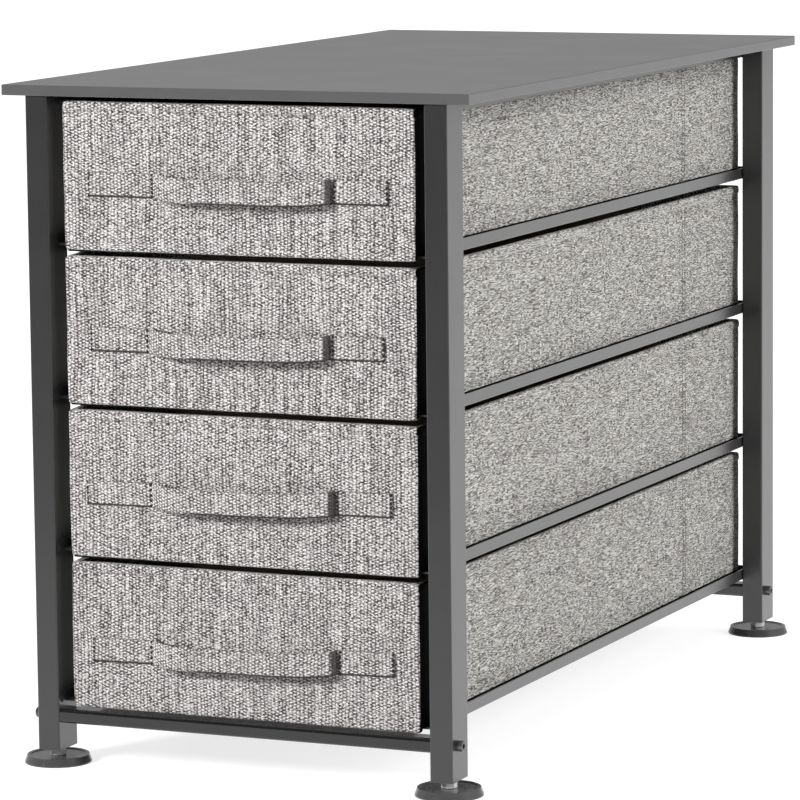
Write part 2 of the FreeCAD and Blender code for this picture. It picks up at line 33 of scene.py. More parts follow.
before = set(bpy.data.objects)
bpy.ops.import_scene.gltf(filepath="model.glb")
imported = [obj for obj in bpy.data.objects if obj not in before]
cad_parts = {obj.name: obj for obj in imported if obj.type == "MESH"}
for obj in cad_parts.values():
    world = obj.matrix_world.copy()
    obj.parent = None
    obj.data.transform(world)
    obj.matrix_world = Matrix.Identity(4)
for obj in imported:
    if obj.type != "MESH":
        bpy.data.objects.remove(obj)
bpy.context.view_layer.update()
scene = bpy.context.scene
print("frame loaded,", len(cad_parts), "nodes")


# Small helpers for node trees.

def addNode(tree, kind, x=0, y=0, **settings):
    node = tree.nodes.new(kind)
    node.location = (x, y)
    for key, value in settings.items():
        setattr(node, key, value)
    return node


def setInputs(node, **values):
    for key, value in values.items():
        node.inputs[key.replace("_", " ")].default_value = value


def feed(tree, socket, value):
    # gives a socket a plain value or a link
    if isinstance(value, bpy.types.NodeSocket):
        tree.links.new(value, socket)
    elif value is not None:
        socket.default_value = value


def addMath(tree, x, y, operation, first, second=None, clamp=False):
    node = addNode(tree, "ShaderNodeMath", x, y, operation=operation, use_clamp=clamp)
    feed(tree, node.inputs[0], first)
    feed(tree, node.inputs[1], second)
    return node.outputs[0]


def addColourMix(tree, x, y, factor, first, second):
    node = addNode(tree, "ShaderNodeMix", x, y, data_type="RGBA")
    for slot, value in ((0, factor), (6, first), (7, second)):
        feed(tree, node.inputs[slot], value)
    return node.outputs[2]


def addNoise(tree, x, y, place, scale, detail, rough=0.5, space="2D"):
    node = addNode(tree, "ShaderNodeTexNoise", x, y, noise_dimensions=space)
    setInputs(node, Detail=detail, Roughness=rough)
    feed(tree, node.inputs["Vector"], place)
    feed(tree, node.inputs["Scale"], scale)
    return node.outputs["Fac"]


def newGroup(name, inputs, outputs):
    tree = bpy.data.node_groups.new(name, "ShaderNodeTree")
    for label, kind, value in inputs:
        socket = tree.interface.new_socket(label, in_out="INPUT", socket_type="NodeSocket" + kind)
        if value is not None:
            socket.default_value = value
    for label, kind in outputs:
        tree.interface.new_socket(label, in_out="OUTPUT", socket_type="NodeSocket" + kind)
    start = addNode(tree, "NodeGroupInput", -1400, 0)
    end = addNode(tree, "NodeGroupOutput", 900, 0)
    return tree, start, end


def newMaterial(name):
    material = bpy.data.materials.new(name)
    material.use_nodes = True
    tree = material.node_tree
    tree.nodes.clear()
    shader = addNode(tree, "ShaderNodeBsdfPrincipled", 300, 0)
    output = addNode(tree, "ShaderNodeOutputMaterial", 620, 0)
    tree.links.new(shader.outputs["BSDF"], output.inputs["Surface"])
    return material, tree, shader


def addGroup(tree, group, x, y, **values):
    node = addNode(tree, "ShaderNodeGroup", x, y, node_tree=group)
    setInputs(node, **values)
    return node


def addBump(tree, shader, height, depth, strength=1.0):
    bump = addNode(tree, "ShaderNodeBump", 60, -260)
    setInputs(bump, Strength=strength, Distance=depth)
    tree.links.new(height, bump.inputs["Height"])
    tree.links.new(bump.outputs["Normal"], shader.inputs["Normal"])


def addFade(tree, x, y, value, begin, end, low, high):
    # goes smoothly from low to high while the value goes from begin to end
    fade = addNode(tree, "ShaderNodeMapRange", x, y, interpolation_type="SMOOTHSTEP")
    setInputs(fade, From_Min=begin, From_Max=end, To_Min=low, To_Max=high)
    tree.links.new(value, fade.inputs["Value"])
    return fade.outputs["Result"]


# Shader node groups, each used by several finishes.

def makeWeaveGroup():
    # plain weave: light yarns over and under, with dark holes between, streaky from yarn to yarn
    tree, start, end = newGroup("heatherWeave", [
        ("Cloth", "Vector", None),
        ("Warp Pitch", "Float", 0.003),
        ("Weft Pitch", "Float", 0.00135),
        ("Ground", "Color", (0.42, 0.4, 0.39, 1)),
        ("Light Yarn", "Color", (0.9, 0.88, 0.86, 1)),
        ("Dark Yarn", "Color", (0.1, 0.09, 0.09, 1)),
        ("Fleck", "Float", 1.0),
        ("Streak", "Float", 1.0),
        ("Lattice", "Float", 1.0),
    ], [("Color", "Color"), ("Height", "Float")])
    links = tree.links
    put = start.outputs
    split = addNode(tree, "ShaderNodeSeparateXYZ", -1200, 0)
    links.new(put["Cloth"], split.inputs[0])
    u = addMath(tree, -1020, 120, "DIVIDE", split.outputs[0], put["Warp Pitch"])
    v = addMath(tree, -1020, -60, "DIVIDE", split.outputs[1], put["Weft Pitch"])
    # yarns wander a little, so that the lattice isn't ruled
    wander = addNoise(tree, -1200, -300, put["Cloth"], 22.0, 1.0)
    shift = addMath(tree, -1020, -300, "SUBTRACT", wander, 0.5)
    shiftU = addMath(tree, -860, -220, "MULTIPLY", shift, 1.1)
    shiftV = addMath(tree, -860, -380, "MULTIPLY", shift, 2.6)
    u = addMath(tree, -700, 120, "ADD", u, shiftU)
    v = addMath(tree, -700, -60, "ADD", v, shiftV)
    warp = addMath(tree, -540, 200, "FLOOR", u)
    weft = addMath(tree, -540, -140, "FLOOR", v)
    # which yarn is on top at this crossing
    parity = addMath(tree, -380, 40, "PINGPONG", addMath(tree, -460, 60, "ADD", warp, weft), 1.0)
    across = addMath(tree, -540, 340, "FRACT", u)
    along = addMath(tree, -540, -280, "FRACT", v)
    roundU = addMath(tree, -380, 340, "SINE", addMath(tree, -460, 340, "MULTIPLY", across, math.pi))
    roundV = addMath(tree, -380, -280, "SINE", addMath(tree, -460, -280, "MULTIPLY", along, math.pi))
    crown = addMath(tree, -220, 140, "MULTIPLY", roundU, roundV)
    over = addMath(tree, -60, 140, "MULTIPLY", crown, parity)
    # one brightness to each half yarn, slowly changing along it, and one to each quarter of a crossing
    yarn = addNode(tree, "ShaderNodeCombineXYZ", -380, 520)
    halfYarn = addMath(tree, -460, -400, "FLOOR", addMath(tree, -540, -400, "MULTIPLY", u, 2.0))
    links.new(halfYarn, yarn.inputs[0])
    links.new(addMath(tree, -460, 620, "MULTIPLY", v, 0.0036), yarn.inputs[1])
    streak = addNoise(tree, -220, 520, yarn.outputs[0], 5.37, 0.0)
    cell = addNode(tree, "ShaderNodeCombineXYZ", -380, -460)
    links.new(halfYarn, cell.inputs[0])
    halfPick = addMath(tree, -460, -520, "FLOOR", addMath(tree, -540, -520, "MULTIPLY", v, 2.0))
    links.new(halfPick, cell.inputs[1])
    speck = addNode(tree, "ShaderNodeTexWhiteNoise", -220, -460, noise_dimensions="2D")
    links.new(cell.outputs[0], speck.inputs["Vector"])
    fuzz = addNoise(tree, -220, -640, put["Cloth"], 1300.0, 1.0, 0.6)
    patch = addNoise(tree, -220, 760, put["Cloth"], 60.0, 2.0)
    # signed brightness: lattice, single flecks, streaks and fuzz added up
    lattice = addMath(tree, 100, 140, "SUBTRACT", addMath(tree, 20, 140, "MULTIPLY", over, 2.0), 0.85)
    lattice = addMath(tree, 140, 240, "ADD", lattice, addMath(tree, 20, 340, "MULTIPLY", roundU, 0.5))
    strength = addMath(tree, -60, 760, "ADD", patch, 0.5)
    strength = addMath(tree, 20, 760, "MULTIPLY", strength, 0.9)
    strength = addMath(tree, 100, 700, "MULTIPLY", strength, put["Lattice"])
    total = addMath(tree, 180, 140, "MULTIPLY", lattice, strength)
    for y, value, weight in ((-460, speck.outputs["Value"], put["Fleck"]), (520, streak, put["Streak"]),
                             (-640, fuzz, 2.2)):
        swing = addMath(tree, 20, y, "SUBTRACT", value, 0.5)
        total = addMath(tree, 340, y, "ADD", total, addMath(tree, 180, y, "MULTIPLY", swing, weight))
    lighter = addMath(tree, 500, 220, "MULTIPLY", total, 1.0, clamp=True)
    darker = addMath(tree, 500, 60, "MULTIPLY", total, -1.0, clamp=True)
    colour = addColourMix(tree, 600, 220, lighter, put["Ground"], put["Light Yarn"])
    colour = addColourMix(tree, 740, 120, darker, colour, put["Dark Yarn"])
    links.new(colour, end.inputs["Color"])
    hairs = addMath(tree, 520, -260, "MULTIPLY", fuzz, 0.5)
    links.new(addMath(tree, 600, -200, "ADD", crown, hairs), end.inputs["Height"])
    return tree


def makeGrainGroup():
    # fine grain and soft clouds between two colours and two levels of gloss: paint, plastic, plating, board
    tree, start, end = newGroup("surfaceGrain", [
        ("Place", "Vector", None),
        ("Grain Size", "Float", 0.0006),
        ("Cloud Size", "Float", 0.05),
        ("Base", "Color", (0.05, 0.05, 0.05, 1)),
        ("Tint", "Color", (0.08, 0.08, 0.08, 1)),
        ("Speckle", "Float", 0.3),
        ("Roughness Low", "Float", 0.4),
        ("Roughness High", "Float", 0.5),
    ], [("Color", "Color"), ("Roughness", "Float"), ("Height", "Float")])
    links = tree.links
    put = start.outputs
    fine = addMath(tree, -1000, 200, "DIVIDE", 1.0, put["Grain Size"])
    grain = addNoise(tree, -800, 200, put["Place"], fine, 3.0, 0.55, "3D")
    wide = addMath(tree, -1000, -100, "DIVIDE", 1.0, put["Cloud Size"])
    cloud = addNoise(tree, -800, -100, put["Place"], wide, 4.0, 0.6, "3D")
    cloudy = addNode(tree, "ShaderNodeMapRange", -560, -100)
    setInputs(cloudy, From_Min=0.3, From_Max=0.7)
    links.new(cloud, cloudy.inputs["Value"])
    speck = addMath(tree, -640, 200, "SUBTRACT", grain, 0.5)
    speck = addMath(tree, -560, 200, "MULTIPLY", speck, put["Speckle"])
    mask = addMath(tree, -460, 0, "MULTIPLY", cloudy.outputs["Result"], 0.6)
    mask = addMath(tree, -380, 60, "ADD", mask, speck, clamp=True)
    links.new(addColourMix(tree, -100, 200, mask, put["Base"], put["Tint"]), end.inputs["Color"])
    rough = addNode(tree, "ShaderNodeMapRange", -100, -60)
    links.new(cloudy.outputs["Result"], rough.inputs["Value"])
    links.new(put["Roughness Low"], rough.inputs["To Min"])
    links.new(put["Roughness High"], rough.inputs["To Max"])
    links.new(rough.outputs["Result"], end.inputs["Roughness"])
    links.new(grain, end.inputs["Height"])
    return tree


weaveGroup = makeWeaveGroup()
grainGroup = makeGrainGroup()


# Finishes.

coverLook = {
    "warpPitch": 0.0031,
    "weftPitch": 0.00131,
    "ground": (0.39, 0.366, 0.357, 1),
    "lightYarn": (0.9, 0.88, 0.87, 1),
    "darkYarn": (0.05, 0.043, 0.043, 1),
    "fleck": 2.15,
    "streak": 1.15,
    "lattice": 0.95,
    "weaveDepth": 0.0005,
    "sheen": 0.15,
    # painted shade along folded edges of the cloth
    "paintedEdgeShade": [],       # each: where it is darkest, where it begins, how dark
    "shaded": False,         # whether the piece says where it is dark and where its edges are
}


def makeFabric(name, look):
    material, tree, shader = newMaterial(name)
    cloth = addNode(tree, "ShaderNodeUVMap", -700, 0, uv_map="cloth")
    weave = addGroup(tree, weaveGroup, -420, 0, Warp_Pitch=look["warpPitch"], Weft_Pitch=look["weftPitch"],
                     Ground=look["ground"], Light_Yarn=look["lightYarn"], Dark_Yarn=look["darkYarn"],
                     Fleck=look["fleck"], Streak=look["streak"], Lattice=look["lattice"])
    tree.links.new(cloth.outputs["UV"], weave.inputs["Cloth"])
    colour = weave.outputs["Color"]
    split = addNode(tree, "ShaderNodeSeparateXYZ", -560, 300)
    tree.links.new(cloth.outputs["UV"], split.inputs[0])
    edges = addNode(tree, "ShaderNodeAttribute", -560, 520, attribute_name="edges")
    for edge, begin, depth in look["paintedEdgeShade"]:
        # painted shade gathers along a folded edge of the band
        line = addFade(tree, -360, 300, split.outputs[1], begin, edge, 0.0, depth)
        amount = addMath(tree, -260, 400, "MULTIPLY", line, edges.outputs["Fac"])
        colour = addColourMix(tree, -160, 200, amount, colour, look["darkYarn"])
    if look["shaded"]:
        # painted shade where the piece's shade attribute says, on the strap's right flank
        shade = addNode(tree, "ShaderNodeAttribute", -560, 720, attribute_name="shade")
        colour = addColourMix(tree, -60, 300, shade.outputs["Fac"], colour, look["darkYarn"])
    tree.links.new(colour, shader.inputs["Base Color"])
    setInputs(shader, Roughness=0.85, Specular_IOR_Level=0.25)
    setInputs(shader, Sheen_Weight=look["sheen"], Sheen_Roughness=0.5)
    addBump(tree, shader, weave.outputs["Height"], look["weaveDepth"], 0.5)
    return material


# the same cloth on the sides, with its own weave pitches; its darker ground and light yarn are painted
# shade on the sides
sideLook = dict(coverLook)
sideLook.update({
    "warpPitch": 0.0011,
    "weftPitch": 0.0066,
    "ground": (0.34, 0.329, 0.306, 1),
    "lightYarn": (0.76, 0.745, 0.715, 1),
    "fleck": 2.2,
    "streak": 0.35,
    "lattice": 0.2,
})
frontFabric = makeFabric("heatheredWeaveFront", coverLook)
sideFabric = makeFabric("heatheredWeaveSide", sideLook)
strapLook = dict(coverLook)
strapLook.update({"lattice": 1.0, "fleck": 1.9, "shaded": True})
# painted shade: a dark line along the band's lower edge and a fainter one along its upper edge
strapLook["paintedEdgeShade"] = [(-0.0088, -0.0077, 1.0), (0.0094, 0.0087, 0.5)]
strapFabric = makeFabric("heatheredWeaveStrap", strapLook)


def makeGrained(name, sizes, base, tint, speckle, rough, bumpDepth, **shaderValues):
    # sizes of its grain and its clouds, its two colours, its two roughnesses
    material, tree, shader = newMaterial(name)
    place = addNode(tree, "ShaderNodeTexCoord", -700, 0)
    grain = addGroup(tree, grainGroup, -420, 0, Grain_Size=sizes[0], Cloud_Size=sizes[1], Base=(*base, 1),
                     Tint=(*tint, 1), Speckle=speckle, Roughness_Low=rough[0], Roughness_High=rough[1])
    tree.links.new(place.outputs["Object"], grain.inputs["Place"])
    tree.links.new(grain.outputs["Color"], shader.inputs["Base Color"])
    tree.links.new(grain.outputs["Roughness"], shader.inputs["Roughness"])
    addBump(tree, shader, grain.outputs["Height"], bumpDepth, 0.6)
    setInputs(shader, **shaderValues)
    return material


framePaint = makeGrained("charcoalPowderCoat", (0.0011, 0.06), (0.026, 0.026, 0.026), (0.036, 0.036, 0.035),
                         0.9, (0.3, 0.38), 0.00012, Coat_Weight=1.0, Coat_Roughness=0.25)
# a darker, glossier copy of the frame's paint for the front rail; its darker colour is painted shade
railPaint = makeGrained("charcoalGlossCoat", (0.0011, 0.06), (0.008, 0.008, 0.008), (0.014, 0.014, 0.014),
                        0.9, (0.2, 0.26), 0.00008, Coat_Weight=0.6, Coat_Roughness=0.12)
boardLaminate = makeGrained("charcoalLaminate", (0.0009, 0.09), (0.1, 0.1, 0.102), (0.122, 0.12, 0.119),
                            0.8, (0.32, 0.42), 0.00006, Coat_Weight=0.6, Coat_Roughness=0.3)
footPlastic = makeGrained("mouldedFootPlastic", (0.0007, 0.02), (0.07, 0.07, 0.072), (0.088, 0.088, 0.09),
                          0.7, (0.2, 0.3), 0.0001, Coat_Weight=0.5, Coat_Roughness=0.15)
plugPlastic = makeGrained("mouldedPlugPlastic", (0.0007, 0.02), (0.018, 0.018, 0.018),
                          (0.028, 0.028, 0.028), 0.7, (0.5, 0.6), 0.0001)
zincPlate = makeGrained("brightZinc", (0.0005, 0.008), (0.88, 0.89, 0.91), (0.98, 0.97, 0.96),
                        0.8, (0.26, 0.4), 0.00004, Metallic=0.12, Coat_Weight=0.8, Coat_Roughness=0.15)
blackOxide = makeGrained("blackOxideSteel", (0.0005, 0.01), (0.13, 0.13, 0.135), (0.2, 0.2, 0.205),
                         0.8, (0.25, 0.36), 0.00004, Metallic=0.7)
pressedBoard = makeGrained("pressedFibreboard", (0.0008, 0.03), (0.3, 0.235, 0.165), (0.42, 0.345, 0.255),
                           2.2, (0.75, 0.85), 0.0001)
darkThreadAndShade = makeGrained("darkSewingThreadAndShade", (0.0003, 0.02), (0.03, 0.028, 0.028), (0.07, 0.066, 0.064),
                         1.0, (0.8, 0.9), 0.0001)
thread = makeGrained("sewingThread", (0.0003, 0.02), (0.16, 0.15, 0.145), (0.25, 0.24, 0.235),
                     1.0, (0.8, 0.9), 0.0001)
# painted shade: a black cloth laid where shade falls, by the post on the right, along the runners and under
# the fronts
paintedShadeBlack = makeGrained("paintedShadeBlackCloth", (0.0005, 0.02), (0.006, 0.006, 0.006), (0.012, 0.012, 0.012),
                          1.0, (0.85, 0.95), 0.0002, Specular_IOR_Level=0.1)
print("materials made")

nodeLooks = {
    "top_board": boardLaminate,
    "post_plugs": plugPlastic,
    "post_": framePaint,
    "front_rail": railPaint,
    "rear_rail": framePaint,
    "runner_": framePaint,
    "top_angle_": framePaint,
    "rail_inserts": zincPlate,
    "board_screws": zincPlate,
    "corner_bolts": blackOxide,
    "foot_disc_": footPlastic,
    "foot_stud_": zincPlate,
    "drawer_": pressedBoard,
}
for name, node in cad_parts.items():
    look = next(material for start, material in nodeLooks.items() if name.startswith(start))
    node.data.materials.clear()
    node.data.materials.append(look)
print("frame painted")


# Fabric covers: a box of cloth round each drawer's boards, behind a front wrapped in the same cloth.

coverShape = {
    "hang": 0.0044,          # how far the front reaches below the drawer's floor
    "frontThick": 0.0064,
    "frontHalf": 0.1515,
    "frontRound": 0.0021,
    "frontWave": 0.0007,
    "cornerRound": 0.0038,
    "hemDrop": 0.0078,       # hem seam below the rim
    "hemPuff": 0.0007,       # how far the doubled cloth above it stands out
    "hemGroove": 0.0006,     # how deep its stitches pull the cloth in
    "frontGroove": 0.0009,   # and across the front
    "hemLap": 0.025,         # cloth turned down inside
    "hemThick": 0.0008,
    "cloth": 0.0012,
    "frontBoard": 0.004,
    "sideBoard": 0.0025,
    "seamAhead": 0.1503,     # side seam in front of the rear end
    "seamProud": 0.0006,
    "seamGroove": 0.0007,
    "rimSink": 0.0003,       # the rim lies lower by this, give or take the ripple
    "rimRipple": 0.0005,
    "wave": 0.0007,
    # painted shade in black: behind the front on the right, along the runners, and under the front
    "rightPaintedShade": 0.026,         # black strip behind the front on the right
    "runnerShadeTop": 0.0106,      # black strip along the runners, up to here in the top drawer
    "runnerShadeFall": 0.0009,       # and lower by this from drawer to drawer
    "leftBow": 0.008,        # how far the left rim leans out
    "shadowLipDrop": 0.0011,       # painted shadow under the front
    "shiftAcross": 0.37,     # along the bolt of cloth, from drawer to drawer
    "shiftSide": 0.29,
    "acrossSteps": 26,
    "alongSteps": 46,
    "cornerSteps": 5,
    "frontSteps": (40, 14),  # across and up
    "hemSteps": 40,
    "seamSteps": 18,
    "shadowLipSteps": 30,
}


def addPiece(name, points, faces, cloth, materials):
    # cloth gives each corner of each face its place on the flat cloth, in metres
    mesh = bpy.data.meshes.new(name)
    mesh.from_pydata(points, [], faces)
    layer = mesh.uv_layers.new(name="cloth")
    for polygon in mesh.polygons:
        for corner in polygon.loop_indices:
            layer.data[corner].uv = cloth(polygon, mesh.loops[corner].vertex_index)
    for material in materials:
        mesh.materials.append(material)
    piece = bpy.data.objects.new(name, mesh)
    scene.collection.objects.link(piece)
    return piece


def soften(piece, levels):
    # subdivides the piece, and keeps the result as its mesh
    smooth = piece.modifiers.new("soften", "SUBSURF")
    smooth.levels = levels
    smooth.render_levels = levels
    bpy.context.view_layer.update()
    rough = piece.data
    finished = bpy.data.meshes.new_from_object(piece.evaluated_get(bpy.context.evaluated_depsgraph_get()))
    piece.modifiers.clear()
    piece.data = finished
    bpy.data.meshes.remove(rough)
    for polygon in finished.polygons:
        polygon.use_smooth = True


def keepOutwards(work, piece):
    # the piece takes over what was worked on, with its faces turned outwards
    bmesh.ops.recalc_face_normals(work, faces=work.faces)
    work.to_mesh(piece.data)
    work.free()


def tubeFaces(lengths, count):
    # faces of a closed tube of so many lengths, its section having so many points
    faces = [tuple(range(count)), tuple(lengths * count + step for step in reversed(range(count)))]
    for place in range(0, lengths * count, count):
        for step in range(count):
            ahead = (step + 1) % count
            faces.append((place + step, place + count + step, place + count + ahead, place + ahead))
    return faces


def perimeter(box, inset, frontInset, radius, shape):
    # points round a rectangle with round corners, anticlockwise from the front left, each with its way out
    x0, x1 = box[0] + inset, box[1] - inset
    y0, y1 = box[2] + frontInset, box[3] - inset
    radius = max(radius, 0.0004)
    seamShare = 1 - shape["seamAhead"] / (box[3] - box[2])
    across = [step / shape["acrossSteps"] for step in range(1, shape["acrossSteps"])]
    along = [step / shape["alongSteps"] for step in range(1, shape["alongSteps"])]
    near = [seamShare + offset for offset in (-0.0062, -0.0035, -0.0014, 0.0, 0.0014, 0.0035, 0.0062)]
    along = sorted([share for share in along if abs(share - seamShare) > 0.01] + near)
    turns = [step / shape["cornerSteps"] for step in range(shape["cornerSteps"] + 1)]
    wide, long = x1 - x0 - 2 * radius, y1 - y0 - 2 * radius
    loop = []

    def corner(cx, cy, begin):
        for turn in turns:
            angle = begin + turn * math.pi / 2
            way = Vector((math.cos(angle), math.sin(angle), 0))
            loop.append((cx + way.x * radius, cy + way.y * radius, way, "corner"))

    corner(x0 + radius, y0 + radius, math.pi)
    for share in across:
        loop.append((x0 + radius + share * wide, y0, Vector((0, -1, 0)), "front"))
    corner(x1 - radius, y0 + radius, -math.pi / 2)
    for share in along:
        loop.append((x1, y0 + radius + share * long, Vector((1, 0, 0)), "side"))
    corner(x1 - radius, y1 - radius, 0)
    for share in across:
        loop.append((x1 - radius - share * wide, y1, Vector((0, 1, 0)), "rear"))
    corner(x0 + radius, y1 - radius, math.pi / 2)
    for share in reversed(along):
        loop.append((x0, y0 + radius + share * long, Vector((-1, 0, 0)), "side"))
    return loop


def bulge(x, y, part, rise, tall, box, shape, number):
    # how far the cloth of a cover leaves its plain box, in metres along its way out
    if part == "front":
        return 0.0
    edge = min(1.0, (rise - shape["hang"]) / 0.02, max(tall - rise, 0) / 0.012)
    spot = Vector((x * 9, y * 9, rise * 26 + number * 17.3))
    push = shape["wave"] * noise.noise(spot) * (0.35 + 0.65 * edge)
    push += 0.35 * shape["wave"] * noise.noise(spot * 3.1) * edge
    if part in ("side", "rear"):
        push += 0.0008 * math.sin(math.pi * min(1.0, max(0.0, rise / tall))) * edge
    if part == "side" and x < 0:
        lean = min(1.0, max(0.0, (y - box[2] - 0.008) / 0.05)) * min(1.0, max(0.0, (box[3] - y) / 0.12))
        push += shape["leftBow"] * lean * lean * (3 - 2 * lean) * max(0.0, rise / tall - 0.3) / 0.7
    if rise > tall - shape["hemDrop"] + 0.0003:
        push += shape["hemPuff"]
    if abs(rise - (tall - shape["hemDrop"])) < 0.0002:
        push -= shape["hemGroove"]
    if part == "side":
        off = y - (box[3] - shape["seamAhead"])
        if abs(off) < 0.0008:
            push -= shape["seamGroove"]
        elif abs(off) < 0.0045:
            push += shape["seamProud"]
    return push


def rimShift(x, y, rise, tall, shape, number):
    # the rim is a little uneven
    share = max(0.0, (rise - tall + shape["hemDrop"]) / shape["hemDrop"])
    ripple = shape["rimRipple"] * noise.noise(Vector((x * 14, y * 14, number * 3.7)))
    return (ripple - shape["rimSink"]) * share


def makeCover(number, shape):
    low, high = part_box(f"drawer_{number}_cover")
    box = (low.x, high.x, low.y, high.y)
    tall = high.z - low.z
    hang = shape["hang"]
    hem = tall - shape["hemDrop"]
    inner = shape["cloth"] + shape["sideBoard"] + shape["hemThick"]
    innerFront = shape["cloth"] + shape["frontBoard"] + shape["hemThick"] + shape["cloth"]
    lap = tall - shape["hemLap"]
    skin = shape["cloth"]
    # rows from the underside up the outside, over the rim, down the lap, up behind it and down to the floor
    outer = [(0.012, hang), (0.0035, hang), (0.0012, hang + 0.0002), (0.0003, hang + 0.0009)]
    outer += [(0.0, hang + 0.0022), (0.0, shape["runnerShadeTop"] - (number - 1) * shape["runnerShadeFall"])]
    belowRunnerShade = len(outer)
    outer += [(0.0, rise) for rise in (0.02, 0.034, 0.048, 0.062, 0.076, 0.09, 0.102)]
    outer += [(0.0, hem + off) for off in (-0.0022, -0.0008, 0.0, 0.0008, 0.0025)]
    outer += [(0.0, tall - 0.0026), (0.0003, tall - 0.0011), (0.0011, tall - 0.0002), (0.0019, tall)]
    rows = [(inset, inset + 0.003, rise, True) for inset, rise in outer]
    inside = [(0.0012, tall), (0.0003, tall - 0.0006), (0.0, tall - 0.0018), (0.0, tall - 0.0076)]
    inside += [(0.0002, tall - 0.008), (0.0, tall - 0.0084), (0.0, tall - 0.016), (0.0, lap + 0.0006)]
    inside += [(0.0004, lap), (0.0008, lap + 0.0006), (0.0008, tall - skin)]
    rows += [(inner - back, innerFront - back, rise, False) for back, rise in inside]
    rows += [(skin, 0.004, rise, False) for rise in (tall - skin, tall / 2, hang + skin + 0.002)]
    # close rows keep the lower corner sharp, under the boards
    rows += [(skin + back, 0.004 + back, hang + skin + up, False)
             for back, up in ((0.0, 0.0003), (0.0003, 0.0), (0.002, 0.0), (0.0108, 0.0))]
    points = []
    for inset, frontInset, rise, outside in rows:
        loop = perimeter(box, inset, frontInset, shape["cornerRound"] - inset, shape)
        for x, y, way, part in loop:
            spot = Vector((x, y, low.z + rise))
            if outside:
                spot += way * bulge(x, y, part, rise, tall, box, shape, number)
            spot.z += rimShift(x, y, rise, tall, shape, number)
            points.append(spot)
    parts = [entry[3] for entry in loop]
    count = len(loop)
    faces = []
    for row in range(len(rows) - 1):
        here, above = row * count, (row + 1) * count
        for step in range(count):
            ahead = (step + 1) % count
            faces.append((here + step, here + ahead, above + ahead, above + step))

    def cloth(polygon, vertex):
        spot = points[vertex]
        if abs(polygon.normal.x) > 0.7:
            return spot.z + number * shape["shiftSide"], spot.y
        return spot.x + number * shape["shiftAcross"], spot.y if abs(polygon.normal.z) > 0.9 else spot.z

    cover = addPiece(f"cover_{number}", points, faces, cloth, [frontFabric, sideFabric, paintedShadeBlack])
    for polygon in cover.data.polygons:
        steps = [vertex % count for vertex in polygon.vertices]
        polygon.material_index = 1 if any(parts[step] == "side" for step in steps) else 0
        # painted shade: black cloth near the front on the right, and on the sides below the runners' tops
        top = max(polygon.vertices) // count
        behind = polygon.center.y - box[2]
        rightPaintedShade = top < len(outer) and behind < shape["rightPaintedShade"] and polygon.center.x > 0
        if rightPaintedShade or polygon.material_index and top < belowRunnerShade:
            polygon.material_index = 2
    soften(cover, 1)
    # the two open rings, under the floor and on it, are closed flat
    work = bmesh.new()
    work.from_mesh(cover.data)
    layer = work.loops.layers.uv["cloth"]
    rings = [edge for edge in work.edges if edge.is_boundary]
    for face in bmesh.ops.holes_fill(work, edges=rings, sides=0)["faces"]:
        face.material_index = 0
        for corner in face.loops:
            corner[layer].uv = (corner.vert.co.x, corner.vert.co.y)
    keepOutwards(work, cover)
    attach(cover, f"drawer_{number}")
    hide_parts(f"drawer_{number}_cover")
    return box, low.z, tall


def frontPush(x, rise, tall, shape, number):
    # how far the face of a drawer's front stands out from its plane
    edge = min(1.0, rise / 0.012, (tall - rise) / 0.012, (shape["frontHalf"] - abs(x)) / 0.012)
    wide = noise.noise(Vector((x * 11, rise * 17, number * 7.7)))
    small = noise.noise(Vector((x * 41, rise * 41, number * 3.3)))
    push = shape["frontWave"] * wide * max(0.15, edge)
    push += 0.3 * shape["frontWave"] * small * max(0.3, edge)
    if rise > tall - shape["hemDrop"] + 0.0003:
        push += 0.6 * shape["hemPuff"]
    if abs(rise - (tall - shape["hemDrop"])) < 0.0002:
        push -= shape["frontGroove"]
    return push


